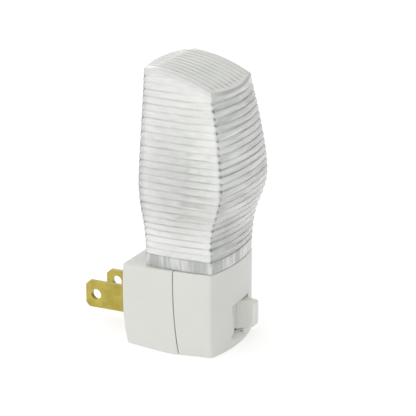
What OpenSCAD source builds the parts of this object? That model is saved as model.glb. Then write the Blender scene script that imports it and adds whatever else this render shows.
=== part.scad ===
// Plug-in night light: a two-shell housing with a polarised two-blade plug on its back,
// a slide switch on its front, and a clear ribbed shade over a small screw-base bulb.
// +Z is up, the wall is the plane Y = 0, the blades point along +Y and the switch faces -Y.
// The origin is the middle of the plug face, halfway between the blades.
// Inside this file heights are counted from the housing's bottom, and seat() lowers them.

/* [Housing] */
// Height of the housing
housing_h = 25; // [24.6:0.2:26]
// Depth from the plug face to the middle of the bowed front
housing_d = 29.1; // [29:0.1:29.6]
// Widest half-width of the housing at the plug face
rear_half_w = 15.75; // [15.5:0.05:15.9]
// Radius of the bow of the front face, seen from above
bow_r = 47.2; // [46.4:0.2:48.4]
// Radius of the side faces, seen from above
side_r = 138; // [134:1:142]
// Wall thickness of the two shells
wall = 1.8; // [1.6:0.1:1.9]
// Gap between the two shells at the seam
seam_gap = 0.16; // [0.1:0.02:0.3]
// Depth of the seam from the plug face, at the top
seam_y = 15.75; // [15.5:0.05:16]

/* [Plug] */
// Height of the blades' centre line above the bottom
plug_h = 10.8; // [10.6:0.1:11]
// Distance between the blades' centres
blade_gap = 12.7; // [12.6:0.05:12.8]
// Thickness of each blade
blade_t = 1.5; // [1.4:0.05:1.6]
// Width of the neutral blade
neutral_w = 7.94; // [7.8:0.02:8.1]
// Width of the line blade
line_w = 6.35; // [6.2:0.05:6.5]
// Projection of the blades from the plug face
blade_l = 16.4; // [15.9:0.1:17]
// Diameter of the hole near each blade's tip
blade_hole_d = 3.18; // [3:0.02:3.4]
// Distance of that hole from the tip
blade_hole_in = 3.3; // [3:0.1:4]

/* [Switch] */
// Middle of the switch pocket, to the line side of the housing's middle
switch_x = 2.7; // [2.6:0.1:2.8]
// Width of the switch pocket
pocket_w = 10.4; // [10.3:0.1:10.5]
// Height of the switch pocket
pocket_h = 9.6; // [9.5:0.1:9.7]
// Width of the knob at its foot
knob_w = 5.3; // [5.1:0.1:5.4]
// How far the knob stands out from the plug face side, at its tip
knob_tip = 32.3; // [32:0.1:32.8]

/* [Shade] */
// Thickness of the shade's side walls
shade_t = 1.2; // [1.1:0.1:1.5]
// Height of the shade above the housing, at its back
shade_h = 57.5; // [56.9:0.2:58.1]
// Radius of the slope of the shade's top, front to back
top_r = 46.5; // [44:0.5:50]

/* [Bulb] */
// Depth of the bulb's axis from the plug face
bulb_y = 16.9; // [16.8:0.1:17]
// Largest radius of the bulb's glass
glass_r = 8.2; // [7.8:0.1:8.3]
// Wall thickness of the bulb's glass
glass_t = 0.5; // [0.4:0.05:0.7]

/* [Hidden] */
$fn = 64;

H = housing_h;
Zc = 8.25;                                  // height of the switch's middle
bow_cy = bow_r - housing_d;                 // centre of the front bow
seam_r = 142;                               // the seam leans forward low down on this radius
px0 = switch_x - pocket_w / 2;              // the pocket's neutral-side end
px1 = switch_x + pocket_w / 2;              // the pocket's line-side end
kx1 = px1 - 0.35;                           // the knob's line-side foot
kx0 = kx1 - knob_w;                         // the knob's other foot
floor_y = -27.4;                            // front of the pocket's floor
kc = (kx0 + kx1) / 2;                       // the knob's middle
travel = 4.4;                               // the knob's travel
leg0 = kx1 - 1.85;                          // the knob's legs, near its line-side foot
leg1 = kx1 - 0.25;
NEU = -blade_gap / 2;                       // the neutral blade's plane
LIN = blade_gap / 2;                        // the line blade's plane
off_white = [0.88, 0.88, 0.85];
brass = [0.75, 0.68, 0.36];
bronze = [0.72, 0.52, 0.3];
nickel = [0.75, 0.75, 0.73];

module seat() translate([0, 0, -plug_h]) children();
module block(x0, x1, y0, y1, z0, z1) translate([x0, y0, z0]) cube([x1 - x0, y1 - y0, z1 - z0]);
module rod_x(r, x0, x1, y, z) translate([x0, y, z]) rotate([0, 90, 0]) cylinder(r = r, h = x1 - x0);
module rod_y(r, y0, y1, x, z) translate([x, y1, z]) rotate([90, 0, 0]) cylinder(r = r, h = y1 - y0);

// ---- housing ----------------------------------------------------------
// The housing's outer form, drawn in by o all round: bowed front, curved sides,
// and sides that draw in towards the bottom at the back.
module side_form(s, o) translate([s * (rear_half_w - 0.12 - side_r), -5, -1])
    cylinder(r = side_r - o, h = H + 2, $fn = 96);
module taper_form(s, o) translate([s * (rear_half_w - 48 / cos(10.6)), 0, 17])
    rotate([0, 0, s * 10.6]) rotate([90, 0, 0]) cylinder(r = 48 - o, h = 90, center = true, $fn = 96);
module form(o = 0, rear = 0, low = 0, high = 0) {
    intersection() {
        block(-17, 17, -31, -rear, low, H - high);
        translate([0, bow_cy, -1]) cylinder(r = bow_r - o, h = H + 2, $fn = 96);
        side_form(1, o);
        side_form(-1, o);
        taper_form(1, o);
        taper_form(-1, o);
    }
}
module shell_form() {
    difference() {
        form();
        form(wall, 2.2, wall, wall);
        // the opening that the lamp holder stands in and the shade's tongues enter
        block(-11.8, 11.8, -bulb_y - 8.3, -bulb_y + 8.3, H - 3, H + 1);
    }
}
module seam_side(front, gap) {
    translate([-20, -seam_y - seam_r, 22]) rotate([0, 90, 0])
        cylinder(r = seam_r + (front ? -gap : gap), h = 40, $fn = 96);
}
module seat_shelf() {
    // the shelf under the lamp holder's flange
    difference() {
        intersection() { form(wall - 0.2, 2, 1, 1); block(-17, 17, -31, 0, H - 5.4, H - 3.8); }
        translate([0, -bulb_y, 0]) cylinder(r = 7.9, h = H + 5);
        block(-8, -5, -bulb_y - 2.4, -bulb_y + 2.4, 0, H + 5);
        block(-4.4, 0, -24, -bulb_y, 0, H + 5);
    }
}

module rear_housing() seat() color(off_white) difference() {
    union() {
        difference() { shell_form(); seam_side(false, seam_gap / 2); }
        difference() { seat_shelf(); seam_side(false, seam_gap / 2); }
        // guides round the blades
        for (x = [NEU, LIN]) block(x - 2.2, x + 2.2, -2.6, -2, plug_h - 5.2, plug_h + 5.2);
        // screw pillar
        rod_y(2.6, -16.5, -2, 0, 4.2);
        block(-0.8, 0.8, -16.3, -2, 1, 4.2);
        // ribs that hold the blade retainer
        for (s = [-1, 1]) block(s * 9.6 - 0.6, s * 9.6 + 0.6, -6.5, -2, 14.9, 18);
        // locating lips that reach into the front shell, at the sides and the bottom
        for (s = [-1, 1]) {
            block(s * 12.4 - 0.5, s * 12.4 + 0.5, -18.4, -12.5, 9, 14);
            block(s * 12.75 - 1.45, s * 12.75 + 1.45, -14.4, -12.5, 9, 14);
            block(s * 6.5 - 2, s * 6.5 + 2, -20, -14, wall + 0.1, wall + 1.2);
            block(s * 6.5 - 2, s * 6.5 + 2, -15.6, -14, 1, wall + 1.2);
        }
    }
    block(NEU - blade_t / 2 - 0.05, NEU + blade_t / 2 + 0.05, -3, 1, plug_h - neutral_w / 2 - 0.05, plug_h + neutral_w / 2 + 0.05);
    block(LIN - blade_t / 2 - 0.05, LIN + blade_t / 2 + 0.05, -3, 1, plug_h - line_w / 2 - 0.05, plug_h + line_w / 2 + 0.05);
    rod_y(1.6, -18, 1, 0, 4.2);
    rod_y(2.9, -2.1, 1, 0, 4.2);
}

module front_cover() seat() color(off_white) difference() {
    union() {
        intersection() { shell_form(); seam_side(true, seam_gap / 2); }
        intersection() { seat_shelf(); seam_side(true, seam_gap / 2); }
        // thicker wall round the switch pocket
        intersection() {
            form(wall / 2, 1, 0.9, 1);
            block(px0 - 2.8, px1 + 1.6, -30, floor_y + 1, 1, 15);
        }
        // screw pillar
        rod_y(2.6, -21.9, -17.3, 0, 4.2);
        block(-0.8, 0.8, -21.7, -17.5, 1, 4.2);
        // rails that the contact carrier slides between
        block(px0 - 1, px1 + 0.6, -26.6, -24.6, 12.9, 13.9);
    }
    // the switch pocket, with a sloped relief under it
    block(px0, px1, -31, floor_y, Zc + 4.65 - pocket_h, Zc + 4.65);
    intersection() {
        // the pocket's neutral-side wall leans out towards the top
        block(px0 - 2, px0 + 0.1, -31, floor_y - 0.01, Zc + 4.65 - pocket_h, Zc + 4.65);
        translate([px0, floor_y, Zc + 4.65]) rotate([0, -4.3, -26.57]) translate([0, -10, -20]) cube([5, 20, 40]);
    }
    rotate([0, 7.6, 0]) translate([px0 - 1.7, 0, 0]) rotate([90, 0, 90]) linear_extrude(8.3)
        polygon([[floor_y - 0.3, 3.42], [floor_y - 0.3, 3.05], [floor_y - 0.9, 3.05], [-30, 0.7], [-30, 3.42]]);
    block(0.9, 4.05, -31, floor_y - 0.3, 2.9, Zc + 4.66 - pocket_h);
    // slots for the knob's two legs
    for (z = [Zc - 4.87, Zc + 3.73])
        block(leg0 - travel - 0.15, leg1 + 0.15, -28, -25, z, z + 0.64);
    // pilot hole for the screw
    rod_y(1.15, -21.4, -16, 0, 4.2);
}

module cover_screw() seat() color(nickel) difference() {
    union() {
        rod_y(2.7, -2.05, -0.4, 0, 4.2);
        rod_y(1.4, -17.2, -2, 0, 4.2);
        rod_y(1.1, -20.6, -17.2, 0, 4.2);
    }
    block(-0.4, 0.4, -1.2, 0, 2.4, 6);
    block(-1.8, 1.8, -1.2, 0, 3.8, 4.6);
}

// ---- plug and fixed contacts -----------------------------------------
// A blade seen from the side: chamfered tip, a shoulder behind the plug face and a tail.
module blade(x, w) {
    c = 1.15;
    difference() {
        translate([x - blade_t / 2, 0, plug_h]) rotate([90, 0, 90]) linear_extrude(blade_t) polygon([
            [blade_l - c, -w / 2], [blade_l, -w / 2 + c], [blade_l, w / 2 - c], [blade_l - c, w / 2],
            [-2.65, w / 2], [-2.65, w / 2 + 1], [-4.4, w / 2 + 1], [-4.4, 3], [-11, 3],
            [-11, -3], [-4.4, -3], [-4.4, -w / 2 - 1], [-2.65, -w / 2 - 1], [-2.65, -w / 2]]);
        rod_x(blade_hole_d / 2, x - 2, x + 2, blade_l - blade_hole_in, plug_h);
        rod_x(1, x - 2, x + 2, -9, plug_h);
    }
}
module neutral_blade() seat() color(brass) blade(NEU, neutral_w);
module line_blade() seat() color(brass) blade(LIN, line_w);

// The bar that traps the blades' shoulders against the back wall
module blade_retainer() seat() color([0.8, 0.8, 0.76]) difference() {
    block(-10.2, 10.2, -6.4, -4.5, plug_h - 3.7, plug_h + 4.0);
    for (x = [NEU, LIN]) block(x - blade_t / 2 - 0.1, x + blade_t / 2 + 0.1, -7, -4, plug_h - 3.1, plug_h + 3.1);
}

module neutral_strap() seat() color(brass) difference() {
    block(NEU + blade_t / 2, NEU + blade_t / 2 + 0.5, -18.6, -6.7, plug_h - 2, plug_h + 2);
    rod_x(1, NEU, NEU + 2, -9, plug_h);
}

module line_terminal() seat() color(brass) difference() {
    union() {
        block(LIN + blade_t / 2, LIN + blade_t / 2 + 0.5, -22.8, -6.7, plug_h - 2.8, plug_h + 1.5);
        block(0.2, LIN + blade_t / 2 + 0.5, -22.8, -22.3, plug_h - 4.5, plug_h - 0.5);
        block(LIN + blade_t / 2 - 1, LIN + blade_t / 2 + 0.5, -22.8, -22.3, plug_h - 2.8, plug_h + 1.5);
    }
    rod_x(1, LIN, LIN + 2, -9, plug_h);
}

module load_terminal() seat() color(brass) difference() {
    union() {
        block(-5.2, -0.8, -22.8, -22.3, plug_h - 4.5, plug_h - 0.5);
        block(-3.9, -1.2, -22.8, -22.3, plug_h - 0.6, 18);
        block(-3.9, -1.2, -22.8, -18.8, 17.5, 18);
        block(-3.9, 2, -18.9, -14.9, 17.5, 18);
    }
    translate([0, -bulb_y, 17]) cylinder(r = 0.8, h = 2);
}

module centre_contact() seat() color(bronze) difference() {
    union() {
        block(-2, 2, -18.9, -14.9, 18, 18.4);
        block(-2, -1.6, -18.4, -15.4, 18.2, H + 0.35);
        block(-2, 2.1, -18.4, -15.4, H - 0.05, H + 0.35);
    }
    translate([0, -bulb_y, 17]) cylinder(r = 0.8, h = 2);
}

// Tubular rivets: blade to strap, blade to terminal, and the centre contact's foot
module rivet_x(x0, x1, y, z) {
    rod_x(0.95, x0 - 0.4, x1 + 0.4, y, z);
    rod_x(1.7, x0 - 0.5, x0, y, z);
    rod_x(1.7, x1, x1 + 0.5, y, z);
}
module terminal_rivets() seat() color(nickel) {
    rivet_x(NEU - blade_t / 2, NEU + blade_t / 2 + 0.5, -9, plug_h);
    rivet_x(LIN - blade_t / 2, LIN + blade_t / 2 + 0.5, -9, plug_h);
    translate([0, -bulb_y, 17.1]) cylinder(r = 0.75, h = 1.7);
    translate([0, -bulb_y, 17.1]) cylinder(r = 1.4, h = 0.4);
    translate([0, -bulb_y, 18.4]) cylinder(r = 1.4, h = 0.4);
}

// ---- lamp holder -------------------------------------------------------
module socket_body() seat() color([0.9, 0.89, 0.85]) difference() {
    union() {
        translate([0, -bulb_y, H - 3.7]) cylinder(r = 7.6, h = 15.2);
        translate([0, -bulb_y, H + 11.5]) cylinder(r1 = 7.6, r2 = 7.2, h = 0.5);
        block(-9.4, 9.4, -25.6, -7.6, H - 3.7, H - 1.95);
    }
    translate([0, -bulb_y, H - 2.4]) cylinder(r = 6.85, h = 20);
    block(-2.5, 2.6, -19.1, -14.7, H - 5, H);
    block(-6.5, -5.2, -18.8, -15, H - 5, H);
}

// One period of a rolled thread, in half-turn steps from crest to root
function thread(z0, n, p, r_in, r_out) = [for (i = [0:n * 8])
    [(r_in + r_out) / 2 + (r_out - r_in) / 2 * cos(i * 45), z0 + i * p / 8]];

module screw_shell() seat() color(brass) {
    inner = thread(H + 2.6, 3, 2.54, 5.95, 6.35);
    outer = [for (p = inner) [p[0] + 0.3, p[1]]];
    m = len(inner) - 1;
    translate([0, -bulb_y, 0]) rotate_extrude()
        polygon(concat([[5.95, H - 0.9], [6.7, H - 0.9], [6.7, H - 0.5], [6.25, H - 0.5]], outer,
                       [[6.65, H + 11], [6.35, H + 11]],
                       [for (i = [m:-1:0]) inner[i]], [[5.95, H + 1]]));
    block(-6.65, -5.7, -18.4, -15.4, H - 1.3, H - 0.85);
    block(NEU + blade_t / 2 - 0.5, NEU + blade_t / 2, -18.4, -15.4, plug_h - 2, H - 0.9);
}

// ---- switch ---------------------------------------------------------------
module switch_knob() seat() color(off_white) {
    // a thin plate on the pocket's floor, and the post that the finger pushes
    block(kx0, kx1, floor_y - 0.5, floor_y - 0.15, Zc - 4.75, Zc + 4.4);
    hull() {
        block(kx0 + 1.95, kx1 - 0.05, floor_y - 0.6, floor_y - 0.4, Zc - 4.7, Zc + 3.9);
        block(kx0 + 1.8, kx1 - 0.25, -knob_tip, -knob_tip + 0.2, Zc - 3.8, Zc + 3.55);
    }
    for (z = [Zc - 4.75, Zc + 3.85])
        block(leg0, leg1, floor_y - 0.5, -24.1, z, z + 0.4);
    // snap hooks that hold the carrier
    block(leg0, leg1, -24.4, -24.1, Zc - 4.75, Zc - 2.9);
    block(leg0, leg1, -24.4, -24.1, Zc + 2.9, Zc + 4.25);
}

module contact_carrier() seat() color([0.78, 0.78, 0.74]) difference() {
    union() {
        block(kc - 3.2, kc + 3.2, -26.15, -24.5, Zc - 3.5, Zc + 3.5);
        block(kc - 2.6, kc + 2.6, -24.6, -24.1, Zc - 2.5, Zc + 2.5);
    }
    block(kc - 2.1, kc + 2.1, -24.6, -24, Zc - 1.6, Zc + 1.6);
}

module moving_contact() seat() color(bronze) {
    block(kc - 2.0, kc + 2.0, -24.55, -24.2, Zc - 1.5, Zc + 1.5);
    for (s = [-1, 1]) {
        block(kc + s * 1.7 - 0.3, kc + s * 1.7 + 0.3, -24.3, -23.4, Zc - 1.4, Zc - 1);
        block(kc + s * 1.7 - 0.3, kc + s * 1.7 + 0.3, -23.5, -23.2, Zc - 1.4, Zc + 1.4);
        translate([kc + s * 1.7 - 0.3, -23.4, Zc + 0.4]) rotate([0, 90, 0]) cylinder(r = 0.5, h = 0.6);
    }
}

// ---- shade ----------------------------------------------------------------
// Stations of the shade: height above the housing, half-width at the corners,
// depth of the front corners and depth of the back corners.
stations = [[0, 13.35, 27.05, 6.5], [4, 13.7, 27.2, 6.65], [8, 14.2, 27.4, 6.8], [11, 14.7, 27.8, 6.8],
            [14, 15.4, 28.6, 6.7], [17, 15.8, 29.6, 6.35], [20, 15.8, 30.5, 5.9], [23, 15.55, 30.95, 5.5],
            [26, 15.25, 31.0, 5.35], [31, 14.85, 30.55, 5.4], [36, 14.3, 29.85, 5.45], [41, 13.75, 29.05, 5.55],
            [46, 13.3, 28.0, 5.7], [51, 12.85, 26.95, 5.8], [57, 12.6, 26.1, 6.0]];
front_sag = 1.8;
back_sag = 2.4;
side_sag = 0.7;
shade_z = H + 0.1;

function cell(t, x, i = 0) = (i >= len(t) - 2 || x < t[i + 1][0]) ? i : cell(t, x, i + 1);
function rise(t, i, c) = let (a = max(i - 1, 0), b = min(i + 1, len(t) - 1))
    (t[b][c] - t[a][c]) / (t[b][0] - t[a][0]);
function smooth(t, x, c) = let (i = cell(t, x), h = t[i + 1][0] - t[i][0], u = (x - t[i][0]) / h)
    t[i][c] * (2 * u * u * u - 3 * u * u + 1) + rise(t, i, c) * h * (u * u * u - 2 * u * u + u)
    + t[i + 1][c] * (3 * u * u - 2 * u * u * u) + rise(t, i + 1, c) * h * (u * u * u - u * u);

// Outline of the right half at one height, drawn in by t: front middle, side, back middle
nf = 5; ns = 5; nr = 5;
nh = nf + ns + nr;
function half_pt(k, h, t) = let (W = smooth(stations, h, 1) - t, F = smooth(stations, h, 2) - t, R = smooth(stations, h, 3) + t)
    k <= nf ? let (u = k / nf) [W * u, -F - front_sag * (1 - u * u)] :
    k <= nf + ns ? let (u = (k - nf) / ns, v = 2 * u - 1) [W + side_sag * (1 - v * v), -F + (F - R) * u] :
    let (u = 1 - (k - nf - ns) / nr) [W * u, -R + back_sag * (1 - u * u)];
function top_z(y, t) = H + shade_h - pow(max(0, -y - 4.2), 2) / (2 * top_r) - t;
function wall_pt(k, v, t, tt) = let (
    kk = k <= nh ? k : 2 * nh - k, s = k <= nh ? 1 : -1,
    y0 = half_pt(kk, 30, t)[1], z0 = shade_z + v * (top_z(y0, tt) - shade_z),
    y1 = half_pt(kk, z0 - shade_z, t)[1], z1 = shade_z + v * (top_z(y1, tt) - shade_z),
    p = half_pt(kk, z1 - shade_z, t)) [s * p[0], p[1], z1];

module shade_wall() {
    n = 2 * nh;
    vo = [for (i = [0:20]) i / 20];
    vi = [for (i = [0:14]) i / 14];
    po = [for (v = vo, k = [0:n - 1]) wall_pt(k, v, 0, 0)];
    pi_ = [for (v = vi, k = [0:n - 1]) wall_pt(k, v, shade_t, 1.7)];
    a = len(po);
    to = (len(vo) - 1) * n;
    ti = a + (len(vi) - 1) * n;
    polyhedron(points = concat(po, pi_), faces = concat(
        [for (i = [0:len(vo) - 2], k = [0:n - 1]) let (l = (k + 1) % n)
            each [[i * n + k, (i + 1) * n + k, (i + 1) * n + l], [i * n + k, (i + 1) * n + l, i * n + l]]],
        [for (i = [0:len(vi) - 2], k = [0:n - 1]) let (l = (k + 1) % n)
            each [[a + i * n + k, a + (i + 1) * n + l, a + (i + 1) * n + k], [a + i * n + k, a + i * n + l, a + (i + 1) * n + l]]],
        // bottom rim
        [for (k = [0:n - 1]) let (l = (k + 1) % n) each [[k, l, a + l], [k, a + l, a + k]]],
        // top, in strips across the width
        [for (k = [0:nh - 1]) let (p = to + k, q = to + k + 1, r = to + (n - k) % n, s = to + n - k - 1)
            each k == 0 ? [[p, s, q]] : k == nh - 1 ? [[p, r, q]] : [[p, r, s], [p, s, q]]],
        [for (k = [0:nh - 1]) let (p = ti + k, q = ti + k + 1, r = ti + (n - k) % n, s = ti + n - k - 1)
            each k == 0 ? [[p, q, s]] : k == nh - 1 ? [[p, q, r]] : [[p, s, r], [p, q, s]]]
    ));
}

module shade() seat() color([0.85, 0.88, 0.87, 0.45]) {
    shade_wall();
    // tongues that plug into the housing's top
    for (s = [-1, 1]) {
        block(min(s * 10.45, s * 11.45), max(s * 10.45, s * 11.45), -bulb_y - 5.5, -bulb_y + 5.5, H - 2.6, H + 3);
        block(min(s * 10.45, s * 12.75), max(s * 10.45, s * 12.75), -bulb_y - 5.5, -bulb_y + 5.5, H + 0.6, H + 2.6);
    }
}

// ---- bulb ------------------------------------------------------------------
// Stations of the glass: height above the housing and outer radius
glass = [[13.3, 5.3], [15.4, 5.5], [17.6, 6.1], [20.4, 7.0], [24, 7.85], [28, glass_r], [32, 7.85], [36, 6.75], [40, 4.95],
         [43, 3.1], [44.6, 1.5], [45, 0.01]];
mount_turn = -64;                           // how far the glass mount is turned about the bulb's axis
module bulb_axis() seat() translate([0, -bulb_y, H]) children();

module bulb_glass() bulb_axis() color([0.9, 0.95, 0.95, 0.35]) rotate_extrude() {
    hs = [for (i = [0:26]) 13.3 + 31.7 * i / 26];
    hi = [for (i = [0:24]) 13.3 + 30.9 * i / 24];
    polygon(concat([for (h = hs) [max(0, smooth(glass, h, 1)), h]],
        [for (i = [len(hi) - 1:-1:0]) [i == len(hi) - 1 ? 0 : max(0.1, smooth(glass, hi[i], 1) - glass_t), hi[i]]]));
}

module bulb_base_shell() bulb_axis() color(nickel) {
    outer = thread(4.7, 3, 2.54, 5.3, 5.72);
    inner = [for (p = outer) [p[0] - 0.25, p[1]]];
    m = len(outer) - 1;
    rotate_extrude() polygon(concat([[4.6, 3.9], [5.0, 3.9]], outer, [[5.75, 12.7], [6.1, 13.1], [6.1, 15.4], [5.85, 15.4], [5.85, 13.3], [5.5, 12.8]],
        [for (i = [m:-1:0]) inner[i]], [[4.75, 4.2]]));
}

// Plaster that bonds the glass into the shell
module bulb_base_cement() bulb_axis() color([0.85, 0.82, 0.75]) rotate_extrude()
    polygon([[5.5, 13.6], [5.8, 13.6], [5.8, 15], [5.62, 15.1]]);

module bulb_insulator() bulb_axis() color([0.08, 0.08, 0.09]) rotate_extrude()
    polygon([[0, 2.1], [2.3, 2.1], [4.4, 3.6], [4.7, 4.25], [4.2, 4.9], [0, 4.9]]);

module bulb_tip_contact() bulb_axis() color(nickel) rotate_extrude()
    polygon([[0, 0.5], [0.9, 0.6], [1.6, 0.95], [2, 1.5], [2.1, 2.08], [0, 2.08]]);

module bulb_stem() bulb_axis() color([0.9, 0.95, 0.95, 0.5]) {
    // flare, neck and pinch of the glass mount, with the exhaust tube
    rotate_extrude() polygon([[4.15, 13.8], [4.45, 13.8], [3.2, 15.6], [2.3, 17.2], [2.1, 19], [1.1, 19], [1.7, 17.2], [2.8, 15.5]]);
    rotate([0, 0, mount_turn]) translate([-2.3, -1, 18.8]) cube([4.6, 2, 2.8]);
    translate([0, 0, 21.5]) cylinder(r = 0.6, h = 2.2);
    translate([0, 0, 23.7]) sphere(r = 0.85);
}

module lead(s) {
    translate([s * 1.6, 0, 21.6]) cylinder(r = 0.2, h = 0.6, $fn = 24);
    translate([s * 1.58, 0, 22.05]) rotate([0, s * atan(1.8 / 1.9), 0]) cylinder(r = 0.19, h = norm([1.8, 1.9]), $fn = 24);
    translate([s * 3.34, 0, 23.8]) cylinder(r = 0.2, h = 5.5, $fn = 24);
    translate([s * 3.4 - 0.3, 0, 29.3]) rotate([0, 90, 0]) cylinder(r = 0.42, h = 0.6, $fn = 24);
}
module bulb_lead_wires() bulb_axis() color(nickel) rotate([0, 0, mount_turn]) for (s = [-1, 1]) lead(s);

// The coil hangs from the two wires in a V, held up at its middle
module bulb_filament() bulb_axis() color([0.4, 0.4, 0.42]) rotate([0, 0, mount_turn]) for (s = [-1, 1]) {
    translate([s * 3.1, 0, 29.3]) rotate([0, -s * 90, 0]) cylinder(r = 0.2, h = 0.45, $fn = 24);
    translate([s * 2.7, 0, 29.3]) rotate([0, -s * (180 - atan(2.7 / 3.2)), 0]) cylinder(r = 0.22, h = norm([2.7, 3.2]), $fn = 24);
}

module filament_support() bulb_axis() color(nickel) rotate([0, 0, mount_turn]) {
    translate([0, 0, 24.5]) cylinder(r = 0.12, h = 0.95);
    translate([0, 0, 26]) rotate([0, 90, 0]) difference() {
        cylinder(r = 0.66, h = 0.2, center = true);
        cylinder(r = 0.5, h = 1, center = true);
    }
}

rear_housing();
front_cover();
cover_screw();
neutral_blade();
line_blade();
blade_retainer();
neutral_strap();
line_terminal();
load_terminal();
centre_contact();
terminal_rivets();
socket_body();
screw_shell();
switch_knob();
contact_carrier();
moving_contact();
shade();
bulb_glass();
bulb_base_shell();
bulb_base_cement();
bulb_insulator();
bulb_tip_contact();
bulb_stem();
bulb_lead_wires();
bulb_filament();
filament_support();
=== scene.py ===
import math

import bmesh
import bpy
import numpy as np
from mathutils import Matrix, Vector


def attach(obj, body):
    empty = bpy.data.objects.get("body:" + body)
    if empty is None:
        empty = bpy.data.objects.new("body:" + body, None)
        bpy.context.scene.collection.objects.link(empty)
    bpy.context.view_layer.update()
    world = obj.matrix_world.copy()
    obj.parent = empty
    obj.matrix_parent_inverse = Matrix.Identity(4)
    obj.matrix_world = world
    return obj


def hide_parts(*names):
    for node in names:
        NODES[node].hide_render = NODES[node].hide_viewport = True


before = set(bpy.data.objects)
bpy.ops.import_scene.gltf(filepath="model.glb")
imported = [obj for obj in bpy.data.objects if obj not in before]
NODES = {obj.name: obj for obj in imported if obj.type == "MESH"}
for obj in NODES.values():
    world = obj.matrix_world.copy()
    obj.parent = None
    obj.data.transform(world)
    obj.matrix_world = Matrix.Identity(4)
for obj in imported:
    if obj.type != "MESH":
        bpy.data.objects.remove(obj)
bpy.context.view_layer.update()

MM = 0.001
PLUG_H = 10.8          # height of the plug's centre line above the housing's bottom
H = 25.0               # housing height
BULB_Y = -16.9


def row(x, y, z):
    """Housing coordinates in mm (heights from the housing's bottom) to the row frame in metres."""
    return (x * MM, y * MM, (z - PLUG_H) * MM)


# ------------------------------------------------------------------ mesh tools
def link(name, mesh):
    o = bpy.data.objects.new(name, mesh)
    bpy.context.scene.collection.objects.link(o)
    return o


def mesh_from(name, verts, faces, merge=1e-7, values=None, mats=None):
    """A mesh from points in housing mm, with doubles merged and empty faces dropped."""
    me = bpy.data.meshes.new(name)
    me.from_pydata([row(*v) for v in verts], [], faces)
    for key, val in (values or {}).items():
        me.attributes.new(key, "FLOAT", "POINT").data.foreach_set("value", np.array(val, np.float32))
    if mats is not None:
        me.polygons.foreach_set("material_index", mats)
    bm = bmesh.new()
    bm.from_mesh(me)
    if merge:
        bmesh.ops.remove_doubles(bm, verts=bm.verts, dist=merge)
    bmesh.ops.dissolve_degenerate(bm, dist=1e-8, edges=bm.edges)
    bmesh.ops.recalc_face_normals(bm, faces=bm.faces)
    bm.to_mesh(me)
    bm.free()
    return me


def shade_smooth(me, angle=30):
    me.polygons.foreach_set("use_smooth", [True] * len(me.polygons))
    me.set_sharp_from_angle(angle=math.radians(angle))


def baked(o):
    """The object's mesh with its modifiers applied, and the modifiers removed."""
    dg = bpy.context.evaluated_depsgraph_get()
    me = bpy.data.meshes.new_from_object(o.evaluated_get(dg))
    old = o.data
    o.modifiers.clear()
    o.data = me
    if old.users == 0:
        bpy.data.meshes.remove(old)
    return o


def boolean(o, cutter, op):
    m = o.modifiers.new("cut", "BOOLEAN")
    m.object, m.operation, m.solver = cutter, op, "EXACT"
    bpy.context.view_layer.update()
    baked(o)
    return o


def drop(o):
    me = o.data
    bpy.data.objects.remove(o)
    if me.users == 0:
        bpy.data.meshes.remove(me)


def cad_copy(node, name):
    """A free copy of a CAD node's mesh, with its split vertices merged."""
    me = NODES[node].data.copy()
    me.name = name
    bm = bmesh.new()
    bm.from_mesh(me)
    bmesh.ops.remove_doubles(bm, verts=bm.verts, dist=1e-7)
    bmesh.ops.recalc_face_normals(bm, faces=bm.faces)
    bm.to_mesh(me)
    bm.free()
    me.materials.clear()
    for a in [a.name for a in me.attributes if a.name == "sharp_edge"]:
        me.attributes.remove(me.attributes[a])
    return link(name, me)


def box_faces(verts, faces, x0, x1, y0, y1, z0, z1):
    n = len(verts)
    verts += [(x, y, z) for z in (z0, z1) for y in (y0, y1) for x in (x0, x1)]
    faces += [[n + i for i in f] for f in
              ((0, 2, 3, 1), (4, 5, 7, 6), (0, 1, 5, 4), (2, 6, 7, 3), (0, 4, 6, 2), (1, 3, 7, 5))]


def loft(rings, cap_first=True, cap_last=True):
    """Faces between equal rings of points, and the points as one list."""
    n = len(rings[0])
    verts = [tuple(p) for r in rings for p in r]
    faces = []
    for i in range(len(rings) - 1):
        for k in range(n):
            l = (k + 1) % n
            faces.append([i * n + k, i * n + l, (i + 1) * n + l, (i + 1) * n + k])
    if cap_first:
        faces.append(list(range(n))[::-1])
    if cap_last:
        faces.append([(len(rings) - 1) * n + k for k in range(n)])
    return verts, faces


# ------------------------------------------------------------------ materials
def node_mat(name):
    m = bpy.data.materials.new(name)
    m.use_nodes = True
    nt = m.node_tree
    nt.nodes.clear()
    out = nt.nodes.new("ShaderNodeOutputMaterial")
    bsdf = nt.nodes.new("ShaderNodeBsdfPrincipled")
    nt.links.new(bsdf.outputs[0], out.inputs[0])
    return m, nt, bsdf


def coords(nt, scale=(1, 1, 1)):
    tc = nt.nodes.new("ShaderNodeTexCoord")
    mp = nt.nodes.new("ShaderNodeMapping")
    mp.inputs["Scale"].default_value = scale
    nt.links.new(tc.outputs["Object"], mp.inputs["Vector"])
    return mp.outputs["Vector"]


def noise(nt, vec, scale, detail=3.0, rough=0.55):
    n = nt.nodes.new("ShaderNodeTexNoise")
    n.inputs["Scale"].default_value = scale
    n.inputs["Detail"].default_value = detail
    n.inputs["Roughness"].default_value = rough
    nt.links.new(vec, n.inputs["Vector"])
    return n.outputs["Fac"]


def ramp(nt, fac, stops):
    r = nt.nodes.new("ShaderNodeValToRGB")
    r.color_ramp.elements[0].position, r.color_ramp.elements[0].color = stops[0][0], (*stops[0][1], 1)
    r.color_ramp.elements[1].position, r.color_ramp.elements[1].color = stops[-1][0], (*stops[-1][1], 1)
    for p, c in stops[1:-1]:
        e = r.color_ramp.elements.new(p)
        e.color = (*c, 1)
    nt.links.new(fac, r.inputs["Fac"])
    return r.outputs["Color"]


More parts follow.
